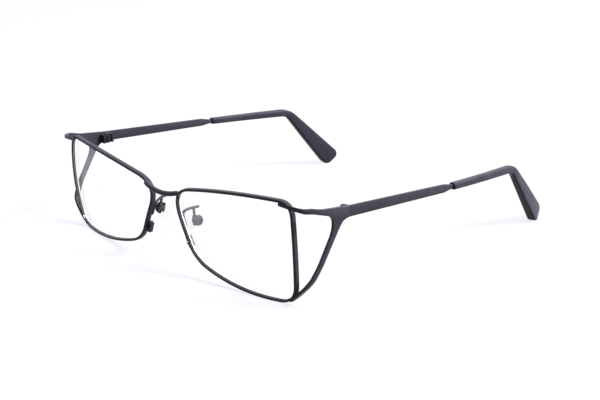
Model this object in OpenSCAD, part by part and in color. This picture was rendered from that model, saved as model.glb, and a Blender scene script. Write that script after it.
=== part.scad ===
// Rectangular metal eyeglasses, in millimetres, standing open on a table.
// X runs to the wearer's left, Y runs back along the temples, Z is up and the table is z = 0.
// The origin lies on the table, in the mirror plane, under the front of the bridge.

/* [Lens outline] */
// Distance from the lens centre in to the inner top corner
top_in_x = 33; // [29:0.1:36]
// Height of the inner top corner over the lens centre
top_in_z = 6.7; // [4:0.1:9]
// Distance from the lens centre out to the outer top corner
top_out_x = 27.3; // [24:0.1:30]
// Height of the outer top corner over the lens centre
top_out_z = 14.4; // [11:0.1:17]
// Distance from the lens centre out to the outer lower corner
low_out_x = 26.6; // [23:0.1:29]
// Depth of the outer lower corner under the lens centre
low_out_z = 24; // [20:0.1:26]
// Distance from the lens centre in to the inner lower corner
low_in_x = 21.3; // [18:0.1:24]
// Depth of the inner lower corner under the lens centre
low_in_z = 17.9; // [15:0.1:20]
// Rise of the top side over a straight line
top_bow = 2.5; // [1:0.1:4]
// Swell of the outer side past a straight line
outer_bow = 1.5; // [0.5:0.1:3]
// Sag of the bottom side under a straight line
bottom_bow = 2.9; // [1:0.1:4]
// Length taken from each side by the round at the inner top corner
top_in_round = 11; // [7:0.1:13]
// Length taken from each side by the round at the outer top corner
top_out_round = 5.4; // [3:0.1:9]
// Length taken from each side by the round at the outer lower corner
low_out_round = 10.4; // [6:0.1:13]
// Length taken from each side by the round at the inner lower corner
low_in_round = 6.2; // [4:0.1:9]

/* [Front] */
// Distance from the mirror plane to each lens centre
eye_x = 36.8; // [34:0.1:40]
// Distance of the lens centres behind the origin
eye_y = 0.7; // [0:0.1:3]
// Angle by which each lens turns back towards the side of the head
wrap = 4.8; // [2:0.1:8]
// Angle by which the top of each lens leans forward
lean = 3.6; // [1:0.1:8]
// Radius of the front surface of the lenses
curve_r = 136; // [110:1:180]
// Thickness of the eyewire in the plane of the lens
wire_t = 1; // [0.8:0.05:1.4]
// Depth of the eyewire from front to back
wire_d = 1.8; // [1.6:0.05:2.2]
// Depth of the groove that holds the lens
groove_d = 0.45; // [0.3:0.05:0.5]
// Width of the mouth of the groove
groove_w = 0.9; // [0.7:0.05:1]
// Thickness of the lens
lens_t = 1.5; // [1.3:0.05:1.55]
// Gap between the lens edge and the eyewire
lens_gap = 0.03; // [0.02:0.01:0.06]

/* [Bridge] */
// Height of the middle of the bridge over the lens centres
bridge_z = 5.3; // [4:0.1:7]
// Rise of the bridge from its middle to its ends
bridge_rise = 1.9; // [1:0.1:3]
// Distance from the mirror plane to each end of the bridge
bridge_reach = 10; // [8.5:0.1:11.5]
// Height of the bridge bar
bridge_h = 1.9; // [1.4:0.1:2.4]
// Depth of the bridge bar from front to back
bridge_d = 1.9; // [1.5:0.1:2.4]

/* [End pieces] */
// Distance from the mirror plane to the middle of the side sheets
side_x = 70.4; // [68.5:0.1:72]
// Thickness of the sheet of the end pieces
sheet_t = 1.1; // [0.9:0.05:1.4]
// Distance of the seam between end piece and temple behind the origin
seam_y = 27; // [25:0.1:30]
// Height of the seam's middle over the lens centres
seam_z = 8.5; // [7:0.1:10]
// Height of the sheet at the seam
seam_h = 3.9; // [3.5:0.1:4.6]
// Height of the top arm where it is soldered to the eyewire
arm_h = 1.6; // [1.2:0.1:2]
// Length of the tab that laps over the front of the eyewire
tab_len = 3.8; // [2:0.1:6]
// Height of the tab at its round end
tab_h = 1.2; // [1:0.1:1.6]
// Width of the strut at its foot
strut_w = 2; // [1.6:0.1:2.6]

/* [Hinges] */
// Radius of the hinge knuckles
knuckle_r = 1.35; // [1.2:0.05:1.6]
// Height of the three knuckles together
knuckle_h = 3.5; // [3.2:0.1:4]
// Share of that height taken by the middle knuckle
middle_share = 0.44; // [0.35:0.01:0.5]
// Gap between parts that turn against each other
turn_gap = 0.12; // [0.08:0.01:0.2]
// Distance of the hinge axis in front of the seam
axis_lead = 0.6; // [0.3:0.1:1]
// Length of each hinge leaf beyond its knuckle
leaf_len = 1; // [0.8:0.1:2]
// Radius of the shank of the hinge screw
hinge_screw_r = 0.6; // [0.5:0.05:0.7]
// Radius of the head of the hinge screw
hinge_head_r = 1.25; // [1:0.05:1.35]
// Height of the head of the hinge screw
hinge_head_h = 0.65; // [0.5:0.05:0.9]
// Radial play of a screw in its hole
screw_play = 0.03; // [0.02:0.01:0.05]

/* [Temples] */
// Distance from the seam back to the bend over the ear
temple_len = 98.9; // [93:0.1:108]
// Angle by which the temples slope down towards the ear
temple_slope = 3.2; // [2:0.1:5]
// Thickness of the sheet of the temples
temple_t = 1.1; // [0.9:0.05:1.3]
// Height of the strip in front of its neck
strip_h = 3; // [2.6:0.1:3.6]
// Height of the neck where the strip enters the tip
neck_h = 1.7; // [1.4:0.1:2]
// Distance that the temple has come inward at the end of the tip
hug = 10.8; // [6:0.1:14]

/* [Temple tips] */
// Distance from the seam back to the mouth of the tip
mouth_y = 57; // [51:0.5:63]
// Height of the tip at its mouth
mouth_h = 2.6; // [2.4:0.1:3.2]
// Height of the tip at the bend
bend_h = 3.1; // [2.9:0.1:4]
// Width of the paddle at its end
paddle_w = 8.3; // [7:0.1:10]
// Thickness of the tip
tip_t = 3; // [2.6:0.1:3.6]
// Angle of the paddle under the line of the temple
drop_angle = 43.5; // [38:0.1:50]
// Radius of the bend over the ear
bend_r = 9; // [7:0.5:12]
// Width of the wire core inside the tip
core_w = 1.3; // [1.1:0.05:1.6]
// Gap round the core inside the tip
core_gap = 0.05; // [0.03:0.01:0.1]

/* [Eyewire locks] */
// Distance of the lock under the lens centre
lock_drop = 11.9; // [11.4:0.1:12.6]
// Length of both lock blocks together along the eyewire
lock_len = 4.4; // [3.8:0.1:5]
// Distance that the lock blocks stand out from the edge of the eyewire
lock_out = 1.4; // [1.3:0.1:1.7]
// Depth of the lock blocks from front to back
lock_d = 1.7; // [1.5:0.1:2]
// Width of the slit where the eyewire is parted
slit = 0.2; // [0.1:0.05:0.3]
// Radius of the shank of the lock screw
lock_screw_r = 0.42; // [0.35:0.01:0.45]

/* [Nose pads] */
// Distance from the mirror plane to the middle of the pad screws
pad_x = 10.4; // [10:0.1:11.5]
// Distance of the pad screws behind the origin
pad_y = 8.5; // [8:0.1:9.5]
// Distance of the pad screws under the lens centres
pad_drop = 5; // [4.4:0.1:5.6]
// Angle by which the backs of the pads spread apart
splay = 17; // [10:1:25]
// Angle by which the lower ends of the pads spread apart
flare = 13; // [8:1:18]
// Length of a nose pad
pad_len = 15.5; // [13:0.1:16]
// Width of a nose pad
pad_w = 7.8; // [6.5:0.1:8.2]
// Thickness of a nose pad
pad_t = 2; // [1.7:0.1:2.4]
// Share of the pad that stands above its screw
pad_above = 0.32; // [0.29:0.01:0.35]
// Radius of the wire of the pad arms
arm_wire_r = 0.45; // [0.4:0.05:0.55]
// Length of the foot of the pad arm on the eyewire
foot_len = 4.2; // [3.5:0.1:5]
// Radius of the round cheeks of the pad box
cheek_r = 1.9; // [1.7:0.05:2.1]
// Thickness of a cheek of the pad box
cheek_t = 0.5; // [0.4:0.05:0.6]
// Gap between the cheeks of the pad box
cheek_gap = 1.7; // [1.5:0.1:2]
// Radius of the shank of the pad screw
pad_screw_r = 0.45; // [0.4:0.01:0.5]

/* [Hidden] */
$fn = 24;
// Facets round a lens surface, which is a small part of a large ball
ball_fn = 140;
// Reach of cutting tools past the faces that they cut
past = 1;

metal_black = [0.17, 0.16, 0.18];
edge_black = [0.24, 0.23, 0.26];
tip_black = [0.12, 0.11, 0.13];
lens_clear = [0.86, 0.86, 0.93, 0.35];
pad_clear = [0.88, 0.88, 0.9, 0.6];

// Smooth curve through a list of guide points: each guide bends one parabola
function bend(a, g, b, n) = [
    for (i = [0 : n - 1]) let (t = i / n)
        (1 - t) * (1 - t) * a + 2 * t * (1 - t) * g + t * t * b
];
function open_curve(g, n) = let (last = len(g) - 1) concat(
    [for (i = [1 : last - 1]) each bend(
        i == 1 ? g[0] : (g[i - 1] + g[i]) / 2, g[i],
        i == last - 1 ? g[last] : (g[i] + g[i + 1]) / 2, n)],
    [g[last]]);
function closed_curve(g, n) = let (c = len(g)) [
    for (i = [0 : c - 1]) each bend(
        (g[(i + c - 1) % c] + g[i]) / 2, g[i], (g[i] + g[(i + 1) % c]) / 2, n)
];

function unit(v) = v / norm(v);
function heading(path, i) = unit(path[min(i + 1, len(path) - 1)] - path[max(i - 1, 0)]);
// Right-hand side of a direction in a flat drawing
function right_of(d) = [d[1], -d[0]];
// Flat strip of even thickness along a curve
function ribbon(path, t) = concat(
    [for (i = [0 : len(path) - 1]) path[i] + right_of(heading(path, i)) * t / 2],
    [for (i = [len(path) - 1 : -1 : 0]) path[i] - right_of(heading(path, i)) * t / 2]);

// Skin of a stack of rings of points, closed into a loop or capped at both ends
function skin(rings, sides, loop) = [
    for (i = [0 : (loop ? rings : rings - 1) - 1], j = [0 : sides - 1])
        let (k = (i + 1) % rings, m = (j + 1) % sides)
            each [[i * sides + j, k * sides + j, k * sides + m],
                  [i * sides + j, k * sides + m, i * sides + m]]
];
function caps(rings, sides) = concat(
    [for (j = [1 : sides - 2]) [0, j, j + 1]],
    [for (j = [1 : sides - 2]) let (o = (rings - 1) * sides) [o, o + j + 1, o + j]]);

module loft(rings, loop = false) {
    count = len(rings);
    sides = len(rings[0]);
    polyhedron(
        points = [for (ring = rings) each ring],
        faces = loop ? skin(count, sides, true)
            : concat(skin(count, sides, false), caps(count, sides)),
        convexity = 8);
}

// Round wire along a path in space
module wire(path, r, sides = 8) {
    loft([for (i = [0 : len(path) - 1]) let (
        d = unit(path[min(i + 1, len(path) - 1)] - path[max(i - 1, 0)]),
        u = unit(cross(d, [1, 0, 0])),
        v = cross(u, d))
            [for (j = [0 : sides - 1]) let (a = 360 * j / sides)
                path[i] + r * (cos(a) * u + sin(a) * v)]]);
}

// Drawing in the side view, with y to the right and z up, made solid along x
module from_side(x0, x1) {
    translate([x0, 0, 0]) rotate([90, 0, 90]) linear_extrude(x1 - x0) children();
}

// Drawing in the front view, with x to the right and z up, made solid along y
module from_front(y0, y1) {
    translate([0, y1, 0]) rotate([90, 0, 0]) linear_extrude(y1 - y0) children();
}

module both_sides(side) {
    if (side == "left") children();
    else mirror([1, 0, 0]) children();
}

// Lens outline, clockwise as the wearer's left lens is seen from the front
corners = [[-top_in_x, top_in_z], [top_out_x, top_out_z],
    [low_out_x, -low_out_z], [-low_in_x, -low_in_z]];
bows = [top_bow, outer_bow, bottom_bow, 0];
rounds = [top_in_round, top_out_round, low_out_round, low_in_round];
side_steps = 8;
round_steps = 7;
function side_point(i, s) = let (a = corners[i], b = corners[(i + 1) % 4])
    a + (b - a) * s - right_of(unit(b - a)) * bows[i] * 4 * s * (1 - s);
function side_length(i) = norm(corners[(i + 1) % 4] - corners[i]);
function side_start(i) = rounds[i] / side_length(i);
function side_end(i) = 1 - rounds[(i + 1) % 4] / side_length(i);
outline = [for (i = [0 : 3]) let (n = (i + 1) % 4, s0 = side_start(i), s1 = side_end(i)) each concat(
    [for (k = [0 : side_steps - 1]) side_point(i, s0 + (s1 - s0) * k / side_steps)],
    bend(side_point(i, s1), corners[n], side_point(n, side_start(n)), round_steps))];
function inward(i) = let (c = len(outline))
    right_of(unit(outline[(i + 1) % c] - outline[(i + c - 1) % c]));
function inset(t) = [for (i = [0 : len(outline) - 1]) outline[i] + inward(i) * t];

// Lens coordinates are across, back and up; depth is measured in from the front surface
function on_lens(p, depth) =
    [p[0], curve_r - sqrt(pow(curve_r - depth, 2) - p[0] * p[0] - p[1] * p[1]), p[1]];
function leaned(v) =
    [v[0], v[1] * cos(lean) - v[2] * sin(lean), v[1] * sin(lean) + v[2] * cos(lean)];
function turned(v) =
    [v[0] * cos(wrap) - v[1] * sin(wrap), v[0] * sin(wrap) + v[1] * cos(wrap), v[2]];
// The lens centres stand so high that the lowest point of the eyewires meets the table
eye_z = -min([for (p = outline) leaned(on_lens(p, 0))[2]]);
eye = [eye_x, eye_y, eye_z];
function in_room(v) = eye + turned(leaned(v));

module at_eye() {
    translate(eye) rotate([lean, 0, wrap]) children();
}

// Everything between two depths behind the front surface
module lens_layer(d0, d1) {
    translate([0, curve_r, 0]) difference() {
        sphere(curve_r - d0, $fn = ball_fn);
        sphere(curve_r - d1, $fn = ball_fn);
    }
}

module lens_blank(margin, d0, d1) {
    intersection() {
        from_front(-past, 4 * wire_d + past) polygon(inset(margin));
        lens_layer(d0, d1);
    }
}

// Space taken by the eyewire and its lens, which soldered parts sit against
module eye_space() {
    at_eye() lens_blank(0, 0, wire_d);
}

// Eyewire: a channel that is swept round the lens and parted at its lock
edge = 0.15;
groove_floor = 0.3;
wire_section = [
    [edge, 0], [0, edge], [0, wire_d - edge], [edge, wire_d],
    [wire_t - edge, wire_d], [wire_t, wire_d - edge], [wire_t, (wire_d + groove_w) / 2],
    [wire_t - groove_d, (wire_d + groove_floor) / 2],
    [wire_t - groove_d, (wire_d - groove_floor) / 2],
    [wire_t, (wire_d - groove_w) / 2], [wire_t, edge], [wire_t - edge, 0],
];
module eyewire() {
    color(metal_black) difference() {
        at_eye() loft([for (i = [0 : len(outline) - 1])
            [for (s = wire_section) on_lens(outline[i] + inward(i) * s[0], s[1])]], loop = true);
        at_lock() translate([-past, -wire_d - past, -slit / 2])
            cube([wire_t + 2 * past, wire_d + 2 * past, slit]);
    }
}

// Lens with the ridge on its edge that sits in the groove
lens_front = (wire_d - lens_t) / 2;
module lens() {
    color(lens_clear) at_eye() {
        lens_blank(wire_t + lens_gap, lens_front, lens_front + lens_t);
        lens_blank(wire_t - groove_d + lens_gap,
            wire_d / 2 - groove_floor / 2 + lens_gap, wire_d / 2 + groove_floor / 2 - lens_gap);
    }
}

// Bridge: a bar with round ends that dips between the eyewires and laps over their front
bridge_steps = 22;
bridge_sides = 12;
bridge_seat = 0.35;
function bridge_swell(s) = sqrt(max(1 - pow(s, 16), 0.02));
bridge_y = in_room(on_lens([bridge_reach - eye_x, bridge_z + bridge_rise], 0))[1] - bridge_seat;
bridge_bow = 0.5;
function bridge_middle(s) = [s * bridge_reach, bridge_y - bridge_bow * (1 - s * s),
    eye_z + bridge_z + bridge_rise * s * s];
module bridge() {
    color(metal_black) difference() {
        loft([for (i = [0 : bridge_steps]) let (s = 2 * i / bridge_steps - 1, w = bridge_swell(s))
            [for (j = [0 : bridge_sides - 1]) let (a = -360 * j / bridge_sides)
                bridge_middle(s) + w / 2 * [0, bridge_d * cos(a), bridge_h * sin(a)]]]);
        for (side = ["left", "right"]) both_sides(side) eye_space();
    }
}

// End piece: bent sheet cut to a side view, so its top arm and its strut share the side plane
seam_mid = eye_z + seam_z;
corner_top = in_room(on_lens([top_out_x, top_out_z - top_out_round / 2], 0));
corner_low = in_room(on_lens([low_out_x, -low_out_z], wire_d / 2));
tab_mid = corner_top[2] + 0.9;
tab_start = corner_top[0] - tab_len;
side_y = seam_y - 14;
arm_plan = open_curve([
    [tab_start, corner_top[1] - 2.2], [corner_top[0], corner_top[1] - 0.9],
    [side_x - 1.4, corner_top[1] + 0.2], [side_x, side_y - 3],
    [side_x, side_y], [side_x, seam_y]], 6);
// Side view of the arm, from the tab back to the seam
arm_top = open_curve([
    [corner_top[1] - 3, tab_mid + 1.3 + tab_h / 2], [corner_top[1] - 0.4, tab_mid - 0.4 + arm_h / 2],
    [corner_top[1] + 4, tab_mid - 0.5 + arm_h / 2],
    [side_y, seam_mid + seam_h / 2 + 1.5], [seam_y - 6, seam_mid + seam_h / 2 + 0.4],
    [seam_y, seam_mid + seam_h / 2]], 6);
strut_end = [corner_low[1] - 0.6, 0.9];
strut_front_y = strut_end[0] - strut_w / 2;
strut_back_y = strut_end[0] + strut_w / 2;
// Place beside the strut, in shares of its whole run forward and fall from the seam
function by_strut(run, fall) = [
    seam_y - run * (seam_y - strut_end[0]), seam_mid - fall * (seam_mid - strut_end[1])];
window_edge = open_curve([
    [strut_front_y, strut_end[1]], [strut_front_y, by_strut(1, 0.77)[1]],
    by_strut(0.93, 0.622), by_strut(0.65, 0.358), by_strut(0.445, 0.165), by_strut(0.47, 0),
    [side_y, seam_mid + 1.4], [corner_top[1] + 4, tab_mid - 0.75 - arm_h / 2],
    [corner_top[1] - 0.4, tab_mid - 0.4 - arm_h / 2],
    [corner_top[1] - 3, tab_mid + 1.3 - tab_h / 2]], 6);
armpit_edge = open_curve([
    [seam_y, seam_mid - seam_h / 2], [seam_y - 2.8, seam_mid - seam_h / 2 - 0.2],
    by_strut(0.302, 0.159), by_strut(0.524, 0.358), by_strut(0.831, 0.634),
    [strut_back_y, by_strut(1, 0.825)[1]], [strut_back_y, strut_end[1]]], 6);
// Front view of the strut: flat beside the hinge, then bent in under the eyewire
strut_front = concat([[side_x, seam_mid + seam_h]], open_curve([
    [side_x, by_strut(1, 0.4)[1]], [side_x, by_strut(1, 0.56)[1]],
    [corner_low[0] + 5.6, corner_low[2] + 7.3], [corner_low[0] - 2.5, corner_low[2] + 0.7]], 8));
module side_view() {
    polygon(concat(arm_top, armpit_edge, window_edge));
}
// Front view that rounds the end of the tab
module tab_view() {
    translate([tab_start + tab_h / 2, tab_mid + 0.7]) scale([1, 1.5]) circle(tab_h / 2);
    translate([tab_start + tab_h / 2, seam_mid - seam_h]) square([side_x, 3 * seam_h]);
}
module end_piece() {
    color(metal_black) difference() {
        union() {
            // The arm is bent in the plan view
            intersection() {
                translate([0, 0, seam_mid - seam_h]) linear_extrude(3 * seam_h)
                    polygon(ribbon(arm_plan, sheet_t));
                from_side(tab_start, side_x + sheet_t) side_view();
                from_front(0, seam_y + past) tab_view();
            }
            // The strut is bent in the front view
            intersection() {
                from_front(0, seam_y) polygon(ribbon(strut_front, sheet_t));
                from_side(0, side_x + sheet_t) difference() {
                    side_view();
                    // The sheet of the arm turns away here
                    translate([-side_y, seam_mid - 12]) square([2 * side_y, 12 + 2 * seam_h]);
                }
            }
        }
        eye_space();
    }
}

// Hinge: two knuckles on the end piece, one on the temple, and a screw down through them
hinge_x = side_x - max(sheet_t, temple_t) / 2 - turn_gap - knuckle_r;
hinge_y = seam_y - axis_lead;
hinge_top = seam_mid + seam_h / 2 - 0.6;
hinge_low = hinge_top - knuckle_h;
middle_h = knuckle_h * middle_share;
outer_h = (knuckle_h - middle_h) / 2 - turn_gap;
leaf_gap = knuckle_r + turn_gap;

module at_hinge() {
    translate([hinge_x, hinge_y, 0]) children();
}
module knuckle(z, h) {
    at_hinge() translate([0, 0, z]) cylinder(h = h, r = knuckle_r);
}
// Web from a knuckle out to the face of the sheet, at one height
module web(z, h, dir, face) {
    at_hinge() translate([0, dir > 0 ? 0 : -leaf_gap - leaf_len, z])
        cube([face - hinge_x, leaf_gap + leaf_len, h]);
}
// Leaf against the sheet, over the whole height of the hinge
module leaf(dir, face) {
    at_hinge() translate([-knuckle_r, dir > 0 ? leaf_gap : -leaf_gap - leaf_len, hinge_low])
        cube([face - hinge_x + knuckle_r, leaf_len, knuckle_h]);
}
module hinge_bore() {
    at_hinge() translate([0, 0, hinge_low - past])
        cylinder(h = knuckle_h + 2 * past, r = hinge_screw_r + screw_play);
}

module front_knuckles() {
    face = side_x - sheet_t / 2;
    color(edge_black) difference() {
        union() {
            for (z = [hinge_low, hinge_top - outer_h]) {
                knuckle(z, outer_h);
                web(z, outer_h, -1, face);
            }
            leaf(-1, face);
        }
        hinge_bore();
    }
}

module temple_knuckle() {
    face = side_x - temple_t / 2;
    z = hinge_low + outer_h + turn_gap;
    color(edge_black) difference() {
        union() {
            knuckle(z, middle_h);
            web(z, middle_h, 1, face);
            leaf(1, face);
        }
        hinge_bore();
        // Room for the end piece beside the knuckle
        translate([hinge_x + knuckle_r, 0, hinge_low - past])
            cube([knuckle_r, seam_y + turn_gap, knuckle_h + 2 * past]);
    }
}

module hinge_screw() {
    color(edge_black) at_hinge() difference() {
        union() {
            translate([0, 0, hinge_low]) cylinder(h = knuckle_h, r = hinge_screw_r);
            translate([0, 0, hinge_top]) cylinder(h = hinge_head_h, r = hinge_head_r);
        }
        // Slot for the screwdriver
        translate([-hinge_head_r - past, -0.15, hinge_top + hinge_head_h / 2])
            cube([2 * hinge_head_r + 2 * past, 0.3, hinge_head_h]);
    }
}

// Temple line: straight from the hinge, then drawn in towards the head
bend_y = seam_y + temple_len;
function line_z(y) = seam_mid - (y - seam_y) * tan(temple_slope);
down = temple_slope + drop_angle;
paddle_r = paddle_w / 2;
drop_len = (line_z(bend_y) - paddle_r) / sin(down);
paddle_y = bend_y + drop_len * cos(down);
end_y = paddle_y + paddle_r;
straight_y = seam_y + 18;
function hug_at(y) = hug * pow(max(y - straight_y, 0) / (end_y - straight_y), 2);
plan_steps = 16;
temple_plan = concat([[side_x, seam_y], [side_x, straight_y]],
    [for (i = [1 : plan_steps]) let (y = straight_y + (end_y - straight_y) * i / plan_steps)
        [side_x - hug_at(y), y]]);

// Line through the middle of the tip in the side view, with its width
turn_len = bend_r * tan(drop_angle / 2);
tip_y = seam_y + mouth_y;
bend_steps = 8;
function tip_line() = let (
    a = [bend_y - turn_len * cos(temple_slope), line_z(bend_y) + turn_len * sin(temple_slope)],
    b = [bend_y + turn_len * cos(down), line_z(bend_y) - turn_len * sin(down)],
    start = [tip_y, line_z(tip_y)],
    finish = [paddle_y, paddle_r])
        concat(
            [for (i = [0 : 5]) start + (a - start) * i / 6],
            bend(a, [bend_y, line_z(bend_y)], b, bend_steps),
            [for (i = [0 : 6]) b + (finish - b) * i / 6]);
tip_path = tip_line();
tip_last = len(tip_path) - 1;
tip_run = norm(tip_path[tip_last] - [bend_y, line_z(bend_y)]);
function tip_width(p) = let (
    flat = min(max((p[0] - tip_y) / (bend_y - tip_y), 0), 1),
    drop = p[0] > bend_y ? norm(p - [bend_y, line_z(bend_y)]) / tip_run : 0)
        mouth_h + (bend_h - mouth_h) * flat
            + (paddle_w - bend_h) * pow(min(drop, 1), 1.2);

// Section of the tip: a slab with rounded edges
slab_sides = 12;
function slab(w, t, r) = [for (j = [0 : slab_sides - 1]) let (
    a = 360 * (j + 0.5) / slab_sides, u = cos(a), v = sin(a))
        [sign(u) * (t / 2 - r) + r * u, sign(v) * (w / 2 - r) + r * v]];
function tip_ring(p, d, w, t) = let (n = [-d[1], d[0]])
    [for (s = slab(w, t, min(t, w) * 0.3))
        [side_x - hug_at(p[0] + n[0] * s[1]) + s[0], p[0] + n[0] * s[1], p[1] + n[1] * s[1]]];
round_end_steps = 6;
module tip_body() {
    dir = unit(tip_path[tip_last] - tip_path[tip_last - 1]);
    loft(concat(
        [for (i = [0 : tip_last])
            tip_ring(tip_path[i], heading(tip_path, i), tip_width(tip_path[i]), tip_t)],
        // The end of the paddle is round in the side view
        [for (i = [1 : round_end_steps]) let (a = 84 * i / round_end_steps)
            tip_ring(tip_path[tip_last] + dir * paddle_r * sin(a), dir,
                paddle_w * cos(a), tip_t * (1 - 0.45 * pow(i / round_end_steps, 3)))]));
}

// Wire core of the temple inside the tip, and the channel that takes it
core_end = tip_last - 2;
module core(gap) {
    path = concat([[seam_y + mouth_y - 4, line_z(seam_y + mouth_y - 4)]],
        [for (i = [0 : core_end]) tip_path[i]],
        [tip_path[core_end] + unit(tip_path[core_end] - tip_path[core_end - 1]) * (gap + 0.01)]);
    intersection() {
        from_side(side_x - hug - 3 * temple_t, side_x + temple_t) polygon(ribbon(path, core_w + 2 * gap));
        translate([0, 0, -past]) linear_extrude(seam_mid + 2 * seam_h)
            polygon(ribbon(temple_plan, temple_t + 2 * gap));
    }
}

module temple() {
    start = seam_y + turn_gap;
    neck = tip_y - 1.5;
    shoulder = neck - 4;
    strip = concat(
        open_curve([
            [start, seam_mid + seam_h / 2], [seam_y + 14, line_z(seam_y + 14) + strip_h / 2 + 0.1],
            [shoulder - 8, line_z(shoulder - 8) + strip_h / 2],
            [shoulder, line_z(shoulder) + strip_h / 2]], 8),
        [[neck, line_z(neck) + neck_h / 2], [tip_y + 1, line_z(tip_y + 1) + core_w / 2],
            [tip_y + 1, line_z(tip_y + 1) - core_w / 2], [neck, line_z(neck) - neck_h / 2]],
        open_curve([
            [shoulder, line_z(shoulder) - strip_h / 2],
            [shoulder - 8, line_z(shoulder - 8) - strip_h / 2],
            [seam_y + 14, line_z(seam_y + 14) - strip_h / 2], [start, seam_mid - seam_h / 2]], 8));
    color(metal_black) union() {
        difference() {
            intersection() {
                from_side(side_x - hug, side_x + temple_t) polygon(strip);
                linear_extrude(seam_mid + 2 * seam_h) polygon(ribbon(temple_plan, temple_t));
            }
            // The strip stops at the mouth and only its core goes in
            from_side(side_x - hug, side_x + past) translate([tip_y - 0.02, 0])
                square([2, seam_mid + seam_h]);
        }
        core(0);
    }
}

module temple_tip() {
    color(tip_black) difference() {
        tip_body();
        core(core_gap);
    }
}

// Eyewire lock: two blocks behind the parted eyewire, drawn together by a screw
nose_side = corners[0] - corners[3];
lock_turn = atan2(-nose_side[0], nose_side[1]);
lock_point = corners[3] + nose_side * (low_in_z - lock_drop) / nose_side[1];
lock_lap = 0.3;
lock_back = 1;
lock_mid = [-0.46 * lock_out, lock_back - lock_d / 2];
lock_head_r = 0.6;
lock_head_h = 0.6;
module at_lock() {
    at_eye() translate(on_lens(lock_point, wire_d)) rotate([0, -lock_turn, 0]) children();
}
module lock_block(z0, z1, bore_r) {
    color(metal_black) difference() {
        at_lock() difference() {
            translate([-lock_out, lock_back - lock_d, z0]) cube([lock_out + lock_lap, lock_d, z1 - z0]);
            translate([lock_mid[0], lock_mid[1], z0 - past]) cylinder(h = z1 - z0 + 2 * past, r = bore_r);
        }
        eye_space();
    }
}
module lock_upper_block() {
    lock_block(slit / 2, lock_len / 2, lock_screw_r + 2 * screw_play);
}
module lock_lower_block() {
    lock_block(-lock_len / 2, -slit / 2, lock_screw_r + screw_play);
}
module lock_screw() {
    color(edge_black) at_lock() translate([lock_mid[0], lock_mid[1], 0]) difference() {
        union() {
            translate([0, 0, -lock_len / 2]) cylinder(h = lock_len, r = lock_screw_r);
            translate([0, 0, lock_len / 2]) cylinder(h = lock_head_h, r = lock_head_r);
        }
        translate([-past, -0.12, (lock_len + lock_head_h) / 2]) cube([2 * past, 0.24, lock_head_h]);
    }
}

// Nose pads: each rocks on a screw in a round box that hangs from a bent wire
pad_z = eye_z - pad_drop;
module at_pad() {
    translate([pad_x, pad_y, pad_z]) rotate([0, -flare, -splay]) children();
}
function from_pad(v) = let (
    a = [v[0] * cos(flare) - v[2] * sin(flare), v[1], v[0] * sin(flare) + v[2] * cos(flare)])
        [pad_x + a[0] * cos(splay) + a[1] * sin(splay),
         pad_y - a[0] * sin(splay) + a[1] * cos(splay), pad_z + a[2]];
box_half = cheek_gap / 2 + cheek_t;
post_r = 0.5;
post_top = 4.9;
post_x = 0.2;
post_y = -box_half + post_r + 0.05;

module along_y(y0, y1, r) {
    translate([0, y1, 0]) rotate([90, 0, 0]) cylinder(h = y1 - y0, r = r);
}

// Wire from its foot on the back of the eyewire, up and back to the end over the box
function nose_point(z) = lock_point + nose_side * z / nose_side[1];
foot_low = lock_drop - 6.7;
module pad_arm() {
    seat = wire_d + 0.2;
    across = right_of(unit(nose_side)) * wire_t * 0.2;
    low = in_room(on_lens(nose_point(foot_low) + across, seat));
    high = in_room(on_lens(nose_point(foot_low + foot_len) + across, seat));
    top = from_pad([post_x, post_y, post_top]);
    color(metal_black) difference() {
        wire(concat(
            [low],
            open_curve([(low + high) / 2, high,
                [(high[0] + top[0]) / 2 - 0.4, high[1] + 1.6, top[2] - 0.3], top], 7),
            [top + [0.3, 2.2, 0]]), arm_wire_r);
        eye_space();
    }
}

// Round box, open towards the nose, with its post soldered under the wire
wall_x = 1.1;
wall_t = 0.6;
// The cheeks are cut flat beside the pad
cheek_flat = 0.42 * cheek_r;
module pad_box() {
    color(metal_black) at_pad() difference() {
        union() {
            for (y = [-box_half, cheek_gap / 2]) along_y(y, y + cheek_t, cheek_r);
            // Back of the box, which joins the cheeks
            translate([wall_x, -(cheek_gap + cheek_t) / 2, -1]) cube([wall_t, cheek_gap + cheek_t, 2]);
            // The post reaches up to the underside of the wire
            translate([post_x, post_y, 1.2]) cylinder(h = post_top - arm_wire_r - 1.2, r = post_r);
        }
        along_y(-box_half - past, box_half + past, pad_screw_r + screw_play);
        translate([-cheek_flat - cheek_r, -box_half - past, -cheek_r])
            cube([cheek_r, 2 * (box_half + past), 2 * cheek_r]);
    }
}

module pad_screw() {
    head_h = 0.45;
    color(edge_black) at_pad() difference() {
        union() {
            along_y(-box_half, box_half, pad_screw_r);
            along_y(-box_half - head_h, -box_half, 2 * pad_screw_r);
        }
        translate([-past, -box_half - head_h - past, -0.1]) cube([2 * past, head_h / 2 + past, 0.2]);
    }
}

// Middle plane of the pad lies on the nose side of the screw
pad_space = 0.2 * pad_t;
pad_mid = -cheek_flat - pad_space - pad_t / 2;
insert_t = cheek_gap - 2 * turn_gap;
insert_r = 0.85;
module insert_shape() {
    translate([pad_mid, -insert_t / 2, -insert_r]) cube([-pad_mid, insert_t, 2 * insert_r]);
    along_y(-insert_t / 2, insert_t / 2, insert_r);
    // Plate that lies inside the pad
    translate([pad_mid - 0.15 * pad_t, -pad_w / 4, -0.2 * pad_len])
        cube([0.3 * pad_t, pad_w / 2, pad_len / 3]);
}
module pad_insert() {
    color(pad_clear) at_pad() difference() {
        insert_shape();
        along_y(-past - insert_t / 2, insert_t / 2 + past, pad_screw_r + screw_play);
    }
}

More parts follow.
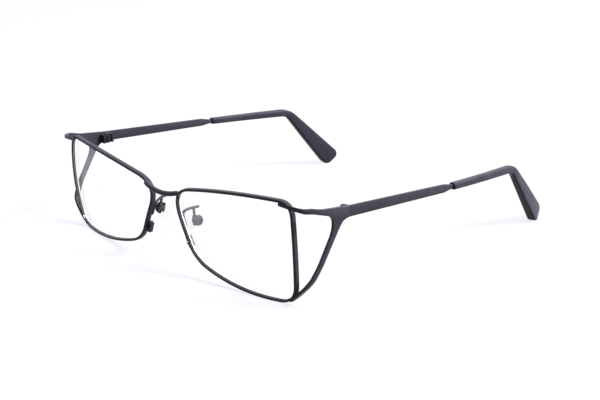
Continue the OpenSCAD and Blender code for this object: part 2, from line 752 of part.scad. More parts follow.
// Pad outline in its own plane: rounded, and fuller at its lower end
pad_top = pad_len * pad_above;
pad_low = pad_top - pad_len;
pad_guides = [[-0.42 * pad_w, pad_top], [-0.56 * pad_w, pad_top / 3],
    [-0.54 * pad_w, pad_low / 2], [-0.36 * pad_w, pad_low], [0.36 * pad_w, pad_low],
    [0.54 * pad_w, pad_low / 2], [0.56 * pad_w, pad_top / 3], [0.42 * pad_w, pad_top]];
pad_outline = closed_curve(pad_guides, 4);
pad_layers = [[-0.5, 0.62], [-0.38, 0.84], [-0.14, 0.97], [0.12, 1], [0.34, 0.95], [0.5, 0.8]];
module nose_pad() {
    color(pad_clear) at_pad() difference() {
        loft([for (layer = pad_layers)
            [for (p = pad_outline) let (mid = (pad_top + pad_low) / 2)
                [pad_mid + layer[0] * pad_t, p[0] * layer[1], mid + (p[1] - mid) * layer[1]]]]);
        insert_shape();
    }
}

both_sides("left") eyewire();  // left_eyewire
both_sides("right") eyewire();  // right_eyewire
both_sides("left") lens();  // left_lens
both_sides("right") lens();  // right_lens
bridge();
both_sides("left") end_piece();  // left_end_piece
both_sides("right") end_piece();  // right_end_piece
both_sides("left") lock_upper_block();  // left_lock_upper_block
both_sides("right") lock_upper_block();  // right_lock_upper_block
both_sides("left") lock_lower_block();  // left_lock_lower_block
both_sides("right") lock_lower_block();  // right_lock_lower_block
both_sides("left") lock_screw();  // left_lock_screw
both_sides("right") lock_screw();  // right_lock_screw
both_sides("left") pad_arm();  // left_pad_arm
both_sides("right") pad_arm();  // right_pad_arm
both_sides("left") pad_box();  // left_pad_box
both_sides("right") pad_box();  // right_pad_box
both_sides("left") pad_screw();  // left_pad_screw
both_sides("right") pad_screw();  // right_pad_screw
both_sides("left") pad_insert();  // left_pad_insert
both_sides("right") pad_insert();  // right_pad_insert
both_sides("left") nose_pad();  // left_nose_pad
both_sides("right") nose_pad();  // right_nose_pad
both_sides("left") front_knuckles();  // left_front_knuckles
both_sides("right") front_knuckles();  // right_front_knuckles
both_sides("left") temple_knuckle();  // left_temple_knuckle
both_sides("right") temple_knuckle();  // right_temple_knuckle
both_sides("left") hinge_screw();  // left_hinge_screw
both_sides("right") hinge_screw();  // right_hinge_screw
both_sides("left") temple();  // left_temple
both_sides("right") temple();  // right_temple
both_sides("left") temple_tip();  // left_temple_tip
both_sides("right") temple_tip();  // right_temple_tip
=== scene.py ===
import math

import bmesh
import bpy
from mathutils import Matrix, Vector


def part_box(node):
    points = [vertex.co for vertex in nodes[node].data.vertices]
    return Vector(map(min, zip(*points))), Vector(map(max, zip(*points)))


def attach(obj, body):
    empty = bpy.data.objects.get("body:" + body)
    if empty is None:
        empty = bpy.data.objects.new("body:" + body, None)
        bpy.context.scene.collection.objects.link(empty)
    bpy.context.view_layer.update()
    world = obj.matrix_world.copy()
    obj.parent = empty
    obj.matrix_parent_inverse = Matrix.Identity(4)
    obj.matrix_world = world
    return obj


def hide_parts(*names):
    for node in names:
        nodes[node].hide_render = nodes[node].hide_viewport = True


# Rectangular metal eyeglasses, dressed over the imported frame. Lengths are in metres, angles in degrees.
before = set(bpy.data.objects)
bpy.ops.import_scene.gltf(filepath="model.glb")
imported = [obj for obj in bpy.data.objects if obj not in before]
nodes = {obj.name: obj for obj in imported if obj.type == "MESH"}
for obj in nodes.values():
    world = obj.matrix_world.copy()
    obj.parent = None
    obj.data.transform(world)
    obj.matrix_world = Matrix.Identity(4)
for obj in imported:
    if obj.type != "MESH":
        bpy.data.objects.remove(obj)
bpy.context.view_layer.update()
print("frame loaded with", len(nodes), "nodes")

upright = Matrix.Identity(4)
across = Matrix.Scale(-1, 4, (1, 0, 0))  # the wearer's right half mirrors the left
onFront = ("front", "front")
onTemples = ("left_temple_arm", "right_temple_arm")
onPads = ("left_pad", "right_pad")
samePoint = 1e-7  # points closer than this are merged


# One parabola from a to b, bent towards g
def bend(a, g, b, n):
    return [(1 - t) ** 2 * a + 2 * t * (1 - t) * g + t * t * b for t in (i / n for i in range(n))]


# Curves that pass midway between their guide points
def openCurve(guides, n):
    g = [Vector(p) for p in guides]
    last = len(g) - 1
    points = []
    for i in range(1, last):
        a = g[0] if i == 1 else (g[i - 1] + g[i]) / 2
        b = g[last] if i == last - 1 else (g[i] + g[i + 1]) / 2
        points += bend(a, g[i], b, n)
    return points + [g[last]]


def closedCurve(guides, n):
    g = [Vector(p) for p in guides]
    c = len(g)
    points = []
    for i in range(c):
        points += bend((g[i - 1] + g[i]) / 2, g[i], (g[i] + g[(i + 1) % c]) / 2, n)
    return points


def circle(sides, radius):
    return [(radius * math.cos(a), radius * math.sin(a))
            for a in (math.tau * j / sides for j in range(sides))]


def rightOf(d):
    return Vector((d[1], -d[0]))


def turned(degrees, axis):
    return Matrix.Rotation(math.radians(degrees), 4, axis)


# A closed mesh from rings with equally many points, the first and the last filled in
def meshFromRings(rings):
    mesh = bmesh.new()
    grid = [[mesh.verts.new(p) for p in ring] for ring in rings]
    width = len(grid[0])
    for i in range(len(grid) - 1):
        for j in range(width):
            m = (j + 1) % width
            mesh.faces.new((grid[i][j], grid[i + 1][j], grid[i + 1][m], grid[i][m]))
    for ring in (grid[0], grid[-1]):
        middle = mesh.verts.new(sum((v.co for v in ring), Vector()) / width)
        for j in range(width):
            mesh.faces.new((ring[j], ring[(j + 1) % width], middle))
    return mesh


def meshData(mesh, place=upright):
    bmesh.ops.transform(mesh, matrix=place, verts=mesh.verts)
    bmesh.ops.recalc_face_normals(mesh, faces=mesh.faces)
    data = bpy.data.meshes.new("made")
    mesh.to_mesh(data)
    mesh.free()
    return data


def rebuilt(data, place=upright):
    work = bmesh.new()
    work.from_mesh(data)
    bmesh.ops.remove_doubles(work, verts=work.verts, dist=samePoint)
    return meshData(work, place)


def linked(name, data):
    made = bpy.data.objects.new(name, data)
    bpy.context.scene.collection.objects.link(made)
    return made


def evaluated(piece):
    bpy.context.view_layer.update()
    graph = bpy.context.evaluated_depsgraph_get()
    data = bpy.data.meshes.new_from_object(piece.evaluated_get(graph), depsgraph=graph)
    bpy.data.objects.remove(piece)
    return data


# Edges that turn by more than the crease stay sharp
def addPiece(name, data, material, body, stoodFor, crease):
    data.name = name
    data.materials.clear()
    data.materials.append(material)
    data.polygons.foreach_set("material_index", [0] * len(data.polygons))
    data.polygons.foreach_set("use_smooth", [True] * len(data.polygons))
    data.set_sharp_from_angle(angle=math.radians(crease))
    piece = linked(name, data)
    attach(piece, body)
    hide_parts(*stoodFor)


def addBothSides(kind, data, material, bodies, node, crease):
    for side, place, body in (("left", upright, bodies[0]), ("right", across, bodies[1])):
        addPiece(side + kind, rebuilt(data, place), material, body, [side + "_" + node], crease)


# What shader trees and geometry trees share
class NodeTree:
    def __init__(self, tree):
        self.tree = tree

    def node(self, kind, **values):
        made = self.tree.nodes.new(kind)
        for key, value in values.items():
            setattr(made, key, value)
        return made

    def link(self, output, target):
        self.tree.links.new(output, target)

    def math(self, operation, first, second=None):
        made = self.node("ShaderNodeMath", operation=operation)
        for socket, value in zip(made.inputs, (first, second)):
            if isinstance(value, bpy.types.NodeSocket):
                self.link(value, socket)
            elif value is not None:
                socket.default_value = value
        return made.outputs[0]


class Paint(NodeTree):
    def __init__(self, name):
        self.material = bpy.data.materials.new(name)
        self.material.use_nodes = True
        super().__init__(self.material.node_tree)
        self.shader = self.tree.nodes["Principled BSDF"]

    def feed(self, name, output):
        self.link(output, self.shader.inputs[name])

    def noise(self, scale, detail):
        noise = self.node("ShaderNodeTexNoise")
        noise.inputs["Scale"].default_value = scale
        noise.inputs["Detail"].default_value = detail
        self.link(self.node("ShaderNodeTexCoord").outputs["Object"], noise.inputs["Vector"])
        return noise.outputs["Fac"]

    def spread(self, value, low, high, start=0.3, end=0.7):
        made = self.node("ShaderNodeMapRange")
        for name, number in (("From Min", start), ("From Max", end), ("To Min", low), ("To Max", high)):
            made.inputs[name].default_value = number
        self.link(value, made.inputs["Value"])
        return made.outputs["Result"]

    def tint(self, share, first, second):
        made = self.node("ShaderNodeMix", data_type="RGBA")
        if isinstance(first, tuple):
            made.inputs["A"].default_value = (*first, 1)
        else:
            self.link(first, made.inputs["A"])
        made.inputs["B"].default_value = (*second, 1)
        self.link(share, made.inputs["Factor"])
        return made.outputs["Result"]

    # Clear pieces hide more of what lies behind them where they are seen edge on
    def veil(self, blend, low, high, start, end):
        facing = self.node("ShaderNodeLayerWeight")
        facing.inputs["Blend"].default_value = blend
        return self.spread(facing.outputs["Facing"], low, high, start, end)

    def relief(self, scale, detail, strength):
        made = self.node("ShaderNodeBump")
        made.inputs["Strength"].default_value = strength
        made.inputs["Distance"].default_value = reliefHeight
        self.link(self.noise(scale, detail), made.inputs["Height"])
        self.feed("Normal", made.outputs["Normal"])


reliefHeight = 0.00002
# Tones and roughness wander between two values, by noise of the given scale and detail.
# relief: scale and detail of its noise, and its strength
# paler: from which sharpness of an edge to which the lacquer grows paler
# veil: blend, least and most, and the slants between which it grows
# For the lens: the colour of the painted reflection of the dark rim on strips along its edge, and the
# roughness of its frosted strip
finishes = {
    "blackLacquer": {
        "tones": ((0.048, 0.045, 0.063), (0.07, 0.066, 0.09)), "toneNoise": (260, 4),
        "roughness": (0.3, 0.39), "glossNoise": (900, 5), "relief": (5200, 2, 0.12),
        "paler": (0.52, 0.62), "values": {"IOR": 1.2},
    },
    # The hinge knuckles get a darker copy of the frame's lacquer: painted shade for the hinge's gap
    "hingeLacquer": {
        "tones": ((0.024, 0.023, 0.03), (0.042, 0.04, 0.05)), "toneNoise": (260, 4),
        "roughness": (0.34, 0.43), "glossNoise": (900, 5), "relief": (5200, 2, 0.12),
        "paler": (0.52, 0.62), "values": {"IOR": 1.2},
    },
    "lensClear": {
        "tones": ((0.95, 0.945, 1), (0.98, 0.975, 1)), "toneNoise": (60, 2),
        "roughness": (0.05, 0.09), "glossNoise": (35, 2), "veil": (0.35, 0.015, 0.12, 0.1, 0.5),
        "shade": (0.03, 0.028, 0.04), "frosting": 0.35, "values": {"IOR": 1.5},
    },
    "padClear": {
        "tones": ((0.46, 0.46, 0.47), (0.56, 0.56, 0.57)), "toneNoise": (320, 3),
        "roughness": (0.2, 0.32), "glossNoise": (700, 3), "relief": (2600, 2, 0.1),
        "veil": (0.5, 0.03, 0.4, 0.55, 1), "values": {"IOR": 1.42},
    },
    "padCore": {
        "tones": ((0.6, 0.6, 0.62), (0.72, 0.72, 0.74)), "toneNoise": (420, 3),
        "roughness": (0.3, 0.42), "glossNoise": (900, 3), "values": {"Alpha": 0.07},
    },
    "tipPlastic": {
        "tones": ((0.05, 0.046, 0.068), (0.072, 0.067, 0.096)), "toneNoise": (180, 4),
        "roughness": (0.26, 0.36), "glossNoise": (650, 4), "relief": (4200, 2, 0.1),
        "values": {"IOR": 1.17},
    },
    "screwSteel": {
        "tones": ((0.035, 0.034, 0.038), (0.07, 0.068, 0.075)), "toneNoise": (1500, 3),
        "roughness": (0.3, 0.42), "glossNoise": (2600, 3), "values": {"Metallic": 0.85},
    },
}


def mottled(name):
    finish = finishes[name]
    p = Paint(name)
    share = p.spread(p.noise(*finish["toneNoise"]), 0, 1)
    if "paler" in finish:
        edge = p.node("ShaderNodeNewGeometry").outputs["Pointiness"]
        both = p.math("ADD", share, p.spread(edge, 0, 1, *finish["paler"]))
        share = p.math("MULTIPLY", both, 0.5)
    p.tone = p.tint(share, *finish["tones"])
    p.gloss = p.spread(p.noise(*finish["glossNoise"]), *finish["roughness"])
    p.feed("Base Color", p.tone)
    p.feed("Roughness", p.gloss)
    if "relief" in finish:
        p.relief(*finish["relief"])
    for socket, value in finish["values"].items():
        p.shader.inputs[socket].default_value = value
    return p


# The lens's edge is marked in its mesh: strips with a painted reflection of the dark rim, frosted strips,
# and bare ones beside them without a veil
def lensMaterial():
    finish = finishes["lensClear"]
    p = mottled("lensClear")
    frosted, shaded, bare = (p.node("ShaderNodeAttribute", attribute_name=name).outputs["Fac"]
                             for name in ("frosted", "shaded", "bare"))
    veil = p.math("SUBTRACT", p.veil(*finish["veil"]), bare)
    # The painted reflection of the dark rim is opaque, dark and not metallic
    p.feed("Alpha", p.math("MAXIMUM", p.math("MAXIMUM", veil, frosted), shaded))
    p.feed("Base Color", p.tint(shaded, p.tone, finish["shade"]))
    p.feed("Roughness", p.math("MAXIMUM", p.gloss, p.spread(frosted, 0, finish["frosting"], 0, 1)))
    p.feed("Metallic", p.spread(shaded, 1, 0, 0, 1))
    return p.material


def padMaterial():
    p = mottled("padClear")
    p.feed("Alpha", p.veil(*finishes["padClear"]["veil"]))
    return p.material


lensGlass = lensMaterial()
padClear = padMaterial()
blackLacquer, hingeLacquer, padCore, tipPlastic, screwSteel = (
    mottled(name).material
    for name in ("blackLacquer", "hingeLacquer", "padCore", "tipPlastic", "screwSteel"))
print("materials ready")


# Geometry Nodes: a tree with named inputs, and a piece worked out by it
class ShapeTree(NodeTree):
    def __init__(self, name, inputs):
        super().__init__(bpy.data.node_groups.new(name, "GeometryNodeTree"))
        self.socket("Geometry", "INPUT", "NodeSocketGeometry")
        for label, kind in inputs:
            self.socket(label, "INPUT", kind)
        self.socket("Geometry", "OUTPUT", "NodeSocketGeometry")
        self.given = self.node("NodeGroupInput").outputs
        self.result = self.node("NodeGroupOutput").inputs["Geometry"]

    def socket(self, label, way, kind):
        self.tree.interface.new_socket(label, in_out=way, socket_type=kind)

    def finish(self, geometry):
        realized = self.node("GeometryNodeRealizeInstances")
        painted = self.node("GeometryNodeSetMaterial")
        self.link(geometry, realized.inputs["Geometry"])
        self.link(realized.outputs["Geometry"], painted.inputs["Geometry"])
        self.link(self.given["Material"], painted.inputs["Material"])
        self.link(painted.outputs["Geometry"], self.result)
        return self.tree


# The piece's first curve is the path, and its second is the profile, with a width and height of 1
def sweepTree(name, level, curved=False):
    inputs = [("Width", "NodeSocketFloat"), ("Height", "NodeSocketFloat"),
              ("Material", "NodeSocketMaterial")]
    if curved:
        inputs.append(("Base Curve", "NodeSocketFloat"))
    t = ShapeTree(name, inputs)
    index = t.node("GeometryNodeInputIndex").outputs["Index"]
    parts = t.node("GeometryNodeSeparateGeometry", domain="CURVE")
    t.link(t.given["Geometry"], parts.inputs["Geometry"])
    t.link(t.math("LESS_THAN", index, 0.5), parts.inputs["Selection"])
    scale = t.node("ShaderNodeCombineXYZ")
    t.link(t.given["Width"], scale.inputs["X"])
    t.link(t.given["Height"], scale.inputs["Y"])
    profile = t.node("GeometryNodeTransform")
    t.link(parts.outputs["Inverted"], profile.inputs["Geometry"])
    t.link(scale.outputs["Vector"], profile.inputs["Scale"])
    path = t.node("GeometryNodeSetCurveNormal", mode="Z_UP" if level else "MINIMUM_TWIST")
    t.link(parts.outputs["Selection"], path.inputs["Curve"])
    sweep = t.node("GeometryNodeCurveToMesh")
    sweep.inputs["Fill Caps"].default_value = True
    t.link(path.outputs["Curve"], sweep.inputs["Curve"])
    t.link(profile.outputs["Geometry"], sweep.inputs["Profile Curve"])
    t.link(t.node("GeometryNodeInputRadius").outputs["Radius"], sweep.inputs["Scale"])
    if curved:
        return t.finish(laidOnBall(t, sweep.outputs["Mesh"]))
    return t.finish(sweep.outputs["Mesh"])


# The flat sweep is laid on the ball that the lens is cut from
def laidOnBall(t, flat):
    place = t.node("ShaderNodeSeparateXYZ")
    t.link(t.node("GeometryNodeInputPosition").outputs["Position"], place.inputs["Vector"])
    ball = t.given["Base Curve"]
    reach = t.math("POWER", t.math("ADD", ball, place.outputs["Z"]), 2.0)
    for axis in ("X", "Y"):
        reach = t.math("SUBTRACT", reach, t.math("POWER", t.math("ABSOLUTE", place.outputs[axis]), 2.0))
    forward = t.math("SUBTRACT", t.math("SQRT", reach), ball)
    moved = t.node("ShaderNodeCombineXYZ")
    t.link(place.outputs["X"], moved.inputs["X"])
    t.link(place.outputs["Y"], moved.inputs["Y"])
    t.link(forward, moved.inputs["Z"])
    laid = t.node("GeometryNodeSetPosition")
    t.link(flat, laid.inputs["Geometry"])
    t.link(moved.outputs["Vector"], laid.inputs["Position"])
    return laid.outputs["Geometry"]


def workedOut(piece, tree, **values):
    modifier = piece.modifiers.new("rule", "NODES")
    modifier.node_group = tree
    for item in tree.interface.items_tree:
        key = item.name.replace(" ", "")
        if item.in_out == "INPUT" and key in values:
            modifier[item.identifier] = values[key]
    return evaluated(piece)


def pathAndProfile(name, path, profile, swell=None):
    curve = bpy.data.curves.new(name, "CURVE")
    curve.dimensions = "3D"
    for points, closed in ((path, False), (profile, True)):
        spline = curve.splines.new("POLY")
        spline.points.add(len(points) - 1)
        for i, p in enumerate(points):
            spline.points[i].co = (p[0], p[1], p[2] if len(p) > 2 else 0, 1)
            spline.points[i].radius = swell(i) if swell and not closed else 1
        spline.use_cyclic_u = closed
    return linked(name, curve)


levelSweep = sweepTree("levelSweep", True)
wireSweep = sweepTree("wireSweep", False)
lensSweep = sweepTree("lensSweep", True, curved=True)

# The left lens's outline as seen from in front, and where the lens stands
eye = {
    "corners": [(-0.033, 0.0067), (0.0273, 0.0144), (0.0266, -0.024), (-0.0213, -0.0179)],
    "bows": [0.0025, 0.0015, 0.0029, 0],  # how far each side bows outwards
    "rounds": [0.011, 0.0054, 0.0066, 0.0062],  # how far each corner's round reaches
    "sideSteps": 26, "roundSteps": 14,
    "x": 0.0368, "y": 0.0007, "wrap": 4.8, "lean": 3.6, "curve": 0.136,
}
corners = [Vector(c) for c in eye["corners"]]


def lensOutline():
    def sidePoint(i, s):
        a, b = corners[i], corners[(i + 1) % 4]
        return a + (b - a) * s - rightOf((b - a).normalized()) * eye["bows"][i] * 4 * s * (1 - s)

    def share(i, cut):
        return cut / (corners[(i + 1) % 4] - corners[i]).length

    points = []
    for i in range(4):
        n = (i + 1) % 4
        s0 = share(i, eye["rounds"][i])
        s1 = 1 - share(i, eye["rounds"][n])
        steps = eye["sideSteps"]
        points += [sidePoint(i, s0 + (s1 - s0) * k / steps) for k in range(steps)]
        points += bend(sidePoint(i, s1), corners[n],
                       sidePoint(n, share(n, eye["rounds"][n])), eye["roundSteps"])
    return points


outline = lensOutline()


def insetOutline(t):
    c = len(outline)
    return [outline[i] + rightOf((outline[(i + 1) % c] - outline[i - 1]).normalized()) * t
            for i in range(c)]


def onLens(p, depth):
    r = eye["curve"]
    return Vector((p[0], r - math.sqrt((r - depth) ** 2 - p[0] ** 2 - p[1] ** 2), p[1]))


eyeTurn = turned(eye["wrap"], "Z") @ turned(eye["lean"], "X")
eyeHeight = -min((eyeTurn @ onLens(p, 0)).z for p in outline)
eyePlace = Matrix.Translation((eye["x"], eye["y"], eyeHeight)) @ eyeTurn
noseSide = corners[0] - corners[3]
noseUp = noseSide.normalized()


def nosePoint(z):
    return corners[3] + noseSide * ((z - corners[3].y) / noseSide.y)


rim = {
    "width": 0.001, "depth": 0.0018, "corner": 0.0002, "cornerSteps": 4, "crease": 50,
    "grooveDepth": 0.00045, "grooveMouth": 0.0009, "grooveFloor": 0.0003,
    "slit": 0.0002, "lockDrop": 0.0119,
}
lockPoint = nosePoint(-rim["lockDrop"])
lockPlace = (eyePlace @ Matrix.Translation(onLens(lockPoint, rim["depth"]))
             @ Matrix.Rotation(math.atan2(noseSide.x, noseSide.y), 4, "Y"))


# Eyewire section: x runs in from its outer edge and y back, both as shares of its size
def rimProfile():
    w, d, c = rim["width"], rim["depth"], rim["corner"]
    n = rim["cornerSteps"]

    def corner(cx, cy, start):
        return [(cx + c * math.cos(a), cy + c * math.sin(a))
                for a in (math.radians(start + 90 * k / n) for k in range(n + 1))]

    mouth, floor, deep = rim["grooveMouth"] / 2, rim["grooveFloor"] / 2, w - rim["grooveDepth"]
    points = (corner(w - c, d - c, 0) + corner(c, d - c, 90) + corner(c, c, 180) + corner(w - c, c, 270)
              + [(w, d / 2 - mouth), (deep, d / 2 - floor), (deep, d / 2 + floor), (w, d / 2 + mouth)])
    return [(x / w, y / d) for x, y in points]


# The rim starts above its slit, on the outline's last side, and ends below it
def rimPath():
    lastSide = 3 * (eye["sideSteps"] + eye["roundSteps"])
    half = noseUp * rim["slit"] / 2
    first = next(i for i in range(lastSide, len(outline)) if outline[i].y > lockPoint.y + half.y)
    return [lockPoint + half] + outline[first:] + outline[:first] + [lockPoint - half]


def addRims():
    bare = pathAndProfile("rimCurve", rimPath(), rimProfile())
    data = workedOut(bare, lensSweep, Width=rim["width"], Height=rim["depth"],
                     Material=blackLacquer, BaseCurve=eye["curve"])
    flatToEye = turned(90, "X")  # from across, up and forward to across, back and up
    data = rebuilt(data, eyePlace @ flatToEye)
    addBothSides("Rim", data, blackLacquer, onFront, "eyewire", rim["crease"])


glass = {
    "thickness": 0.0015, "gap": 0.00003, "crease": 30,
    "shares": [0.12, 0.3, 0.5, 0.7, 0.86, 0.95, 0.972, 1],  # each ring's share of the outline
}


def addLenses():
    t, gap, shares = glass["thickness"], glass["gap"], glass["shares"]
    front = (rim["depth"] - t) / 2
    middleDepth = rim["depth"] / 2
    mouth, floor = rim["grooveFloor"], rim["grooveFloor"] / 2
    flat = insetOutline(rim["width"] + gap)
    ridge = insetOutline(rim["width"] - rim["grooveDepth"] + gap)
    middle = sum(flat, Vector((0, 0))) / len(flat)

    def ring(points, depth, share=1.0):
        return [onLens(middle + (p - middle) * share, depth) for p in points]

    rings = [ring(flat, front, s) for s in shares]
    rings += [ring(flat, middleDepth - mouth), ring(ridge, middleDepth - floor + gap),
              ring(ridge, middleDepth + floor - gap), ring(flat, middleDepth + mouth)]
    rings += [ring(flat, front + t, s) for s in reversed(shares)]
    mesh = meshFromRings(rings)
    mesh.normal_update()
    # The edge carries a painted reflection of the dark rim as far as the groove goes, and is frosted behind
    # it
    last = len(shares) - 1
    marks = {"shaded": range(last, last + 4), "frosted": [last + 4], "bare": [last - 1, last + 5]}
    for name, strips in marks.items():
        layer = mesh.faces.layers.float.new(name)
        for i, face in enumerate(mesh.faces):
            face[layer] = 1 if i // len(flat) in strips else 0
    addBothSides("Lens", meshData(mesh, eyePlace), lensGlass, onFront, "lens", glass["crease"])


bridge = {
    "z": 0.0053, "rise": 0.0019, "reach": 0.01, "height": 0.0019, "depth": 0.0019,
    "bow": 0.0005, "seat": 0.00035, "steps": 48, "sides": 28, "endPower": 16, "endLeast": 0.02,
    "crease": 60,
}


def addBridge():
    seat = onLens((bridge["reach"] - eye["x"], bridge["z"] + bridge["rise"]), 0)
    seatY = (eyePlace @ seat).y - bridge["seat"]
    n = bridge["steps"]
    shares = [math.sin(math.pi * (i / n - 0.5)) for i in range(n + 1)]
    path = [Vector((s * bridge["reach"], seatY - bridge["bow"] * (1 - s * s),
                    eyeHeight + bridge["z"] + bridge["rise"] * s * s)) for s in shares]

    def swell(i):
        return math.sqrt(max(1 - shares[i] ** bridge["endPower"], bridge["endLeast"]))

    bare = pathAndProfile("bridgeCurve", path, circle(bridge["sides"], 0.5), swell)
    data = workedOut(bare, levelSweep, Width=bridge["depth"], Height=bridge["height"],
                     Material=blackLacquer)
    addPiece("bridge", rebuilt(data), blackLacquer, "front", ["bridge"], bridge["crease"])


# Nose pad: where its middle stands, how it leans, and its layers through the thickness
pad = {
    "x": 0.0104, "y": 0.0085, "drop": 0.005, "splay": 17, "flare": 13,
    "length": 0.0155, "width": 0.0078, "thickness": 0.002, "above": 0.32, "middle": -0.002198,
    "halfWidths": [0.42, 0.56, 0.54, 0.36],  # of the guides from the top down, as shares of the width
    "steps": 10, "crease": 60,
    # depth as a share of the thickness, and size as a share of the outline
    "layers": [(-0.5, 0.3), (-0.5, 0.55), (-0.47, 0.72), (-0.4, 0.83), (-0.28, 0.915), (-0.14, 0.967),
               (0.02, 0.996), (0.14, 0.998), (0.26, 0.975), (0.38, 0.93), (0.46, 0.865),
               (0.5, 0.78), (0.5, 0.5), (0.5, 0.25)],
}
padPlace = (Matrix.Translation((pad["x"], pad["y"], eyeHeight - pad["drop"]))
            @ turned(-pad["splay"], "Z") @ turned(-pad["flare"], "Y"))


def addNosePads():
    top = pad["length"] * pad["above"]
    low = top - pad["length"]
    half = [(share * pad["width"], z)
            for share, z in zip(pad["halfWidths"], (top, top / 3, low / 2, low))]
    guides = [(-x, z) for x, z in half] + list(reversed(half))
    edge = closedCurve(guides, pad["steps"])
    middle = (top + low) / 2
    rings = [[Vector((pad["middle"] + share * pad["thickness"], p.x * size, middle + (p.y - middle) * size))
              for p in edge] for share, size in pad["layers"]]
    data = meshData(meshFromRings(rings), padPlace)
    addBothSides("NosePad", data, padClear, onPads, "nose_pad", pad["crease"])


# Pad arm: its foot on the rim, the guide where it turns back, and the post over the pad
arm = {
    "radius": 0.00052, "footLow": -0.0067, "footLength": 0.0042, "footInset": 0.0002, "footGap": 0.0002,
    "over": (-0.0004, 0.0016, -0.0003), "post": (0.0002, -0.0008, 0.0049), "end": (0.0003, 0.0022, 0),
    "steps": 14, "sides": 16, "crease": 40,
}


def addPadArms():
    inward = rightOf(noseUp) * arm["footInset"]

    def foot(z):
        return eyePlace @ onLens(nosePoint(z) + inward, rim["depth"] + arm["footGap"])

    low, high = foot(arm["footLow"]), foot(arm["footLow"] + arm["footLength"])
    top = padPlace @ Vector(arm["post"])
    over = Vector(((high.x + top.x) / 2, high.y, top.z)) + Vector(arm["over"])
    path = [low] + openCurve([(low + high) / 2, high, over, top], arm["steps"]) + [top + Vector(arm["end"])]
    bare = pathAndProfile("armCurve", path, circle(arm["sides"], 0.5))
    data = workedOut(bare, wireSweep, Width=2 * arm["radius"], Height=2 * arm["radius"],
                     Material=blackLacquer)
    addBothSides("PadArm", rebuilt(data), blackLacquer, onFront, "pad_arm", arm["crease"])


# Pieces that keep the shape of their CAD node, with softened edges
soft = {
    "merge": 0.000001, "flatAngle": 4, "sharpAngle": 32, "facets": 2, "crease": 35,
    "metal": 0.00012, "lock": 0.0001, "hinge": 0.00006,  # how far the edges are rounded
}


def softened(node, radius):
    work = bmesh.new()
    work.from_mesh(nodes[node].data)
    bmesh.ops.remove_doubles(work, verts=work.verts, dist=soft["merge"])
    bmesh.ops.dissolve_limit(work, angle_limit=math.radians(soft["flatAngle"]),
                             verts=work.verts, edges=work.edges)
    bare = linked(node + "_copy", meshData(work))
    bevel = bare.modifiers.new("edges", "BEVEL")
    bevel.width = radius
    bevel.segments = soft["facets"]
    bevel.limit_method = "ANGLE"
    bevel.angle_limit = math.radians(soft["sharpAngle"])
    return rebuilt(evaluated(bare))


def addSoftened(kind, node, radius, material, bodies):
    for side, body in (("left", bodies[0]), ("right", bodies[1])):
        name = side + "_" + node
        addPiece(side + kind, softened(name, radius), material, body, [name], soft["crease"])


# Pad box: the node's cheeks, closed by a round domed back
padBox = {
    "edge": 0.00007, "sides": 32,
    # place along the box and radius, from the inside of its round back to the top of its dome
    "back": [(0.0011, 0.0012), (0.0011, 0.00195), (0.00117, 0.00203), (0.0014, 0.00203),
             (0.00157, 0.00185), (0.00166, 0.0013), (0.0017, 0.0006)],
}


def addPadBoxes():
    rings = [[Vector((x, *p)) for p in circle(padBox["sides"], r)] for x, r in padBox["back"]]
    back = meshData(meshFromRings(rings), padPlace)
    for side, place in (("left", upright), ("right", across)):
        node = side + "_pad_box"
        work = bmesh.new()
        work.from_mesh(rebuilt(back, place))
        work.from_mesh(softened(node, padBox["edge"]))
        addPiece(side + "PadBox", meshData(work), blackLacquer, "front", [node],
                 soft["crease"])


# Temple line: straight in the side view, and drawn in towards the head beyond its straight part
temple = {
    "sideX": 0.0704, "seamY": 0.027, "seamUp": 0.0085, "length": 0.0989, "slope": 3.2,
    "straight": 0.018, "hug": 0.0108,
}
# Temple tip: the sleeve on the temple, the bend and the paddle
tip = {
    "mouthY": 0.057, "mouthHeight": 0.0026, "bendHeight": 0.0031, "paddleWidth": 0.0079,
    "thickness": 0.003, "thickening": 0.0012, "growth": 0.9, "corner": 0.3,
    "dropAngle": 43.5, "bendRadius": 0.009, "flatTwist": 5, "dropTwist": 5,
    "lowest": 0.00002, "farthest": 0.15188,
    "sides": 36, "straightSteps": 24, "bendSteps": 14, "paddleSteps": 14,
    "endSteps": 14, "endTurn": 86, "endThinning": 0.78, "crease": 50,
    "recess": 0.0011, "recessHeight": 0.0014, "recessWidth": 0.0012, "recessCorner": 0.2,
    "lip": 0.00025, "lipRound": 0.000075,
}
seamZ = eyeHeight + temple["seamUp"]
mouthY = temple["seamY"] + tip["mouthY"]
bendY = temple["seamY"] + temple["length"]
straightY = temple["seamY"] + temple["straight"]
downTurn = math.radians(temple["slope"] + tip["dropAngle"])
paddleRadius = tip["paddleWidth"] / 2


def lineZ(y):
    return seamZ - (y - temple["seamY"]) * math.tan(math.radians(temple["slope"]))


bendPoint = Vector((bendY, lineZ(bendY)))
paddlePoint = bendPoint + Vector((math.cos(downTurn), -math.sin(downTurn))) * (
    (bendPoint.y - paddleRadius) / math.sin(downTurn))
endY = paddlePoint.x + paddleRadius


def hugAt(y):
    return temple["hug"] * (max(y - straightY, 0) / (endY - straightY)) ** 2


def tipStations():
    turn = tip["bendRadius"] * math.tan(math.radians(tip["dropAngle"]) / 2)
    mouth = Vector((mouthY, lineZ(mouthY)))
    a = bendPoint + (mouth - bendPoint).normalized() * turn
    b = bendPoint + (paddlePoint - bendPoint).normalized() * turn
    n, m = tip["straightSteps"], tip["paddleSteps"]
    path = [mouth + (a - mouth) * i / n for i in range(n)]
    path += bend(a, bendPoint, b, tip["bendSteps"])
    return path + [b + (paddlePoint - b) * i / m for i in range(m + 1)]


def flatShare(p):
    return min(max((p.x - mouthY) / (bendY - mouthY), 0), 1)


def dropShare(p):
    return min((p - bendPoint).length / (paddlePoint - bendPoint).length, 1) if p.x > bendY else 0


